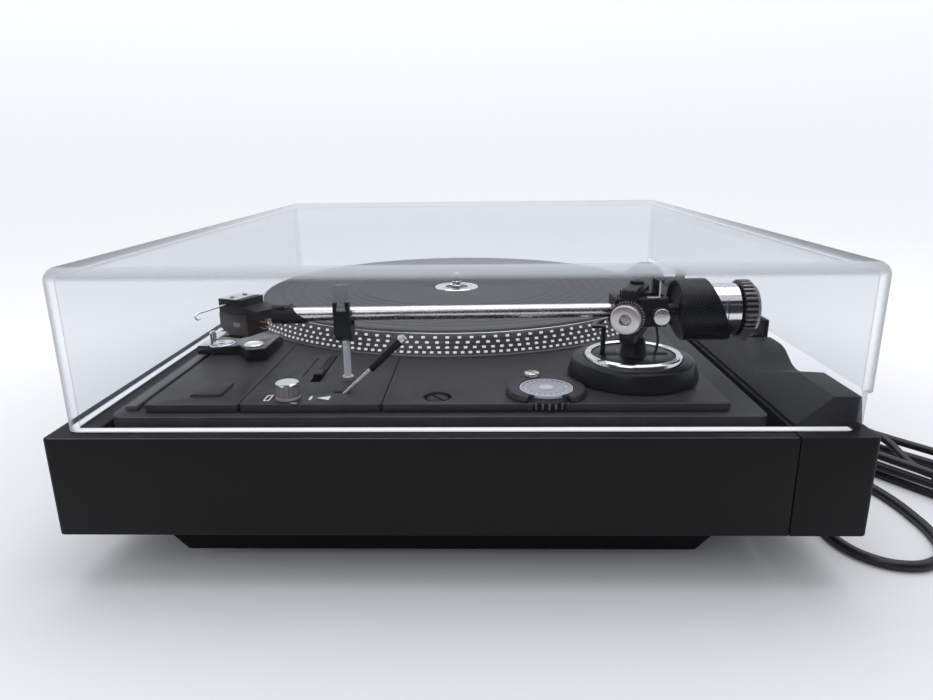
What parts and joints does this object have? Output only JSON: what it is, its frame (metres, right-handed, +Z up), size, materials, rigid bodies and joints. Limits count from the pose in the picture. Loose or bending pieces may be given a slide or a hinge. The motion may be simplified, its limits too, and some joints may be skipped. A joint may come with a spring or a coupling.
{
  "type": "turntable",
  "caption": "Low direct-drive turntable: clear hinged lid, dotted platter with rubber mat, straight tube arm with counterweight, deck controls and two leads.",
  "frame": {"origin": "centre of the plinth on the surface that the feet stand on", "axes": "+X to the right seen from the front, where the arm is; +Y to the back; +Z up"},
  "size_m": [0.42, 0.5043, 0.15],
  "materials": {
    "plinth_paint": "dark grey satin paint on moulded board",
    "pan_plastic": "black moulded plastic",
    "foot_rubber": "black rubber",
    "deck_metal": "charcoal paint, fine texture",
    "cover_plastic": "charcoal matte plastic",
    "rail_plastic": "grey matte plastic with a fine grain",
    "lid_clear": "clear polished acrylic",
    "clear_part": "clear moulded plastic",
    "chrome": "polished",
    "satin_metal": "turned satin aluminium",
    "platter_metal": "dark anodised with bright dots",
    "mat_rubber": "dark ribbed rubber",
    "black_plastic": "black plastic",
    "dark_plastic": "near-black matte plastic",
    "steel": "bare steel",
    "cord_jacket": "black cord jacket"
  },
  "bodies": {
    "case": {"plinth_frame": "plinth_paint", "plinth_rear_section": "plinth_paint", "bottom_pan": "pan_plastic", "foot_front_left": "foot_rubber", "foot_front_right": "foot_rubber", "foot_rear_left": "foot_rubber", "foot_rear_right": "foot_rubber", "chassis_plate": "deck_metal", "front_cover": "cover_plastic", "lever_cover": "cover_plastic", "arm_cover": "cover_plastic", "front_trim_strip": "deck_metal", "rear_rail": "rail_plastic", "speed_block": "dark_plastic", "motor_housing": "steel", "transformer": "steel", "transport_screw": "steel", "slotted_screw": "steel", "antiskate_bezel": "cover_plastic", "arm_base": "dark_plastic", "rest_post": "clear_part", "rest_clamp": "black_plastic", "mains_strain_relief": "dark_plastic", "signal_strain_relief": "dark_plastic", "mains_lead": "cord_jacket", "mains_coil": "cord_jacket", "mains_plug": "dark_plastic", "signal_lead": "cord_jacket", "signal_coil": "cord_jacket", "signal_plug": "dark_plastic"},
    "lid": {"lid": "lid_clear", "lid_hinge_left": "dark_plastic", "lid_hinge_right": "dark_plastic"},
    "platter": {"platter": "platter_metal", "platter_mat": "mat_rubber", "hub_ring": "chrome", "rotor_spindle": "chrome"},
    "height_ring": {"height_ring": "chrome"},
    "turret": {"turret_plate": "dark_plastic"},
    "lift_bar": {"lift_bar": "black_plastic"},
    "bearing": {"gimbal_frame": "dark_plastic"},
    "force_dial": {"force_dial": "satin_metal"},
    "arm": {"arm_cradle": "dark_plastic", "arm_tube": "satin_metal", "headshell": "dark_plastic", "cartridge": "black_plastic", "stylus": "black_plastic", "weight_housing": "dark_plastic"},
    "lock_knob": {"lock_knob": "satin_metal"},
    "weight_bush": {"weight_bush": "steel"},
    "counterweight": {"counterweight": "chrome", "weight_grip_ring": "black_plastic"},
    "cue_lever": {"cue_lever": "black_plastic"},
    "selector": {"selector_knob": "satin_metal"},
    "speed_lever": {"speed_lever": "chrome"},
    "speed_button": {"speed_button": "satin_metal"},
    "start_slider": {"start_slider": "black_plastic"},
    "antiskate": {"antiskate_wheel": "black_plastic", "antiskate_disc": "clear_part"},
    "rest_lock": {"rest_lock": "black_plastic"}
  },
  "joints": [
    {"name": "lid_hinge", "type": "hinge", "parent": "case", "child": "lid", "pos_m": [0, 0.172, 0.084], "axis": [-1, 0, 0], "range_deg": [0, 65]},
    {"name": "platter_spin", "type": "hinge", "parent": "case", "child": "platter", "pos_m": [-0.039, -0.0083, 0.096], "axis": [0, 0, 1], "continuous": true},
    {"name": "height_ring_turn", "type": "hinge", "parent": "case", "child": "height_ring", "pos_m": [0.147, 0.0885, 0.091], "axis": [0, 0, 1], "range_deg": [0, 180]},
    {"name": "turret_lift", "type": "slide", "parent": "case", "child": "turret", "axis": [0, 0, 1], "range_m": [0, 0.006]},
    {"name": "arm_swing", "type": "hinge", "parent": "turret", "child": "bearing", "pos_m": [0.147, 0.0885, 0.1184], "axis": [0, 0, -1], "range_deg": [0, 45]},
    {"name": "arm_lift", "type": "hinge", "parent": "bearing", "child": "arm", "pos_m": [0.147, 0.0885, 0.1184], "axis": [-0.9191, 0.3939, 0], "range_deg": [-1, 5]},
    {"name": "force_dial_turn", "type": "hinge", "parent": "bearing", "child": "force_dial", "pos_m": [0.16722, 0.07983, 0.1184], "axis": [0.9191, -0.3939, 0], "range_deg": [0, 270]},
    {"name": "lock_knob_turn", "type": "hinge", "parent": "arm", "child": "lock_knob", "pos_m": [0.15821, 0.09806, 0.1177], "axis": [0.9995, 0.0314, 0], "range_deg": [0, 360]},
    {"name": "weight_travel", "type": "slide", "parent": "arm", "child": "weight_bush", "axis": [-0.0314, 0.9995, 0], "range_m": [-0.0025, 0.0025]},
    {"name": "weight_turn", "type": "hinge", "parent": "weight_bush", "child": "counterweight", "pos_m": [0.14581, 0.12648, 0.1184], "axis": [-0.0314, 0.9995, 0], "range_deg": [-720, 720]},
    {"name": "cue_lever_turn", "type": "hinge", "parent": "case", "child": "cue_lever", "pos_m": [0.172, -0.0596, 0.079], "axis": [1, 0, 0], "range_deg": [0, 28]},
    {"name": "lift_bar_rise", "type": "slide", "parent": "turret", "child": "lift_bar", "axis": [0, 0, 1], "range_m": [0, 0.0045]},
    {"name": "selector_turn", "type": "hinge", "parent": "case", "child": "selector", "pos_m": [0.181, -0.08, 0.088], "axis": [0, 0, 1], "range_deg": [0, 120]},
    {"name": "speed_lever_turn", "type": "hinge", "parent": "case", "child": "speed_lever", "pos_m": [0.101, -0.141, 0.089], "axis": [0, 0, 1], "range_deg": [-40, 40]},
    {"name": "speed_button_push", "type": "slide", "parent": "case", "child": "speed_button", "axis": [0, 0, -1], "range_m": [0, 0.0015], "stiffness_N_per_m": 400, "springref_m": -0.0005},
    {"name": "start_slide", "type": "slide", "parent": "case", "child": "start_slider", "axis": [1, 0, 0], "range_m": [0, 0.006]},
    {"name": "antiskate_turn", "type": "hinge", "parent": "case", "child": "antiskate", "pos_m": [0.1724, 0.0423, 0.083], "axis": [0, 0, 1], "range_deg": [0, 150]},
    {"name": "rest_lock_turn", "type": "hinge", "parent": "case", "child": "rest_lock", "pos_m": [0.1575, -0.0572, 0.1234], "axis": [0, -1, 0], "range_deg": [0, 90]}
  ],
  "couplings": [
    {"joint": "height_ring_turn", "follows": "turret_lift", "rad_per_m": 523.6},
    {"joint": "weight_turn", "follows": "weight_travel", "rad_per_m": 5026.5},
    {"joint": "lift_bar_rise", "follows": "cue_lever_turn", "m_per_rad": 0.0092082}
  ]
}
